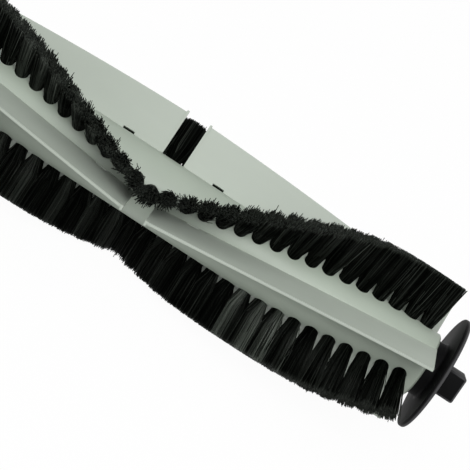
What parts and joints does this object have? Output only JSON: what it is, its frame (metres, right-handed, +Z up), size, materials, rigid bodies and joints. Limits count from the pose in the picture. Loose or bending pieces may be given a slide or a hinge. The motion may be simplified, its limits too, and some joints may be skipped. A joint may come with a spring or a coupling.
{
  "type": "robot vacuum roller brush",
  "caption": "Roller brush with V-shaped bristle rows and split rubber blades on a moulded core, a square drive stub at one end and a free-turning bearing cap at the other.",
  "frame": {"origin": "on the roller's axis at the middle of the core's length", "axes": "+X along the axis to the drive stub, +Z up as the brush lies on a flat surface, -Y to the side that the picture shows"},
  "size_m": [0.174, 0.0422, 0.042],
  "materials": {
    "core_plastic": "moulded, fine satin grain",
    "blade_rubber": "soft matt rubber",
    "bristle_nylon": "fine drawn filaments with a dull sheen",
    "cap_plastic": "moulded, half gloss",
    "pin_steel": "ground",
    "anchor_steel": "drawn flat wire",
    "bush_bronze": "sintered, oily",
    "washer_nylon": "plain"
  },
  "bodies": {
    "roller": {"tuft_row_1_drive": "bristle_nylon", "tuft_anchors_1_drive": "anchor_steel", "blade_1_drive": "blade_rubber", "tuft_row_1_idle": "bristle_nylon", "tuft_anchors_1_idle": "anchor_steel", "blade_1_idle": "blade_rubber", "tuft_row_2_drive": "bristle_nylon", "tuft_anchors_2_drive": "anchor_steel", "blade_2_drive": "blade_rubber", "tuft_row_2_idle": "bristle_nylon", "tuft_anchors_2_idle": "anchor_steel", "blade_2_idle": "blade_rubber", "tuft_row_3_drive": "bristle_nylon", "tuft_anchors_3_drive": "anchor_steel", "blade_3_drive": "blade_rubber", "tuft_row_3_idle": "bristle_nylon", "tuft_anchors_3_idle": "anchor_steel", "blade_3_idle": "blade_rubber", "core": "core_plastic", "drive_end_cap": "cap_plastic", "idle_end_cap": "cap_plastic", "axle_pin": "pin_steel", "thrust_washer": "washer_nylon"},
    "bearing": {"sleeve_bush": "bush_bronze", "bearing_cap": "cap_plastic"}
  },
  "joints": [
    {"name": "bearing_spin", "type": "hinge", "parent": "roller", "child": "bearing", "pos_m": [-0.0838, 0, 0], "axis": [1, 0, 0], "continuous": true}
  ]
}
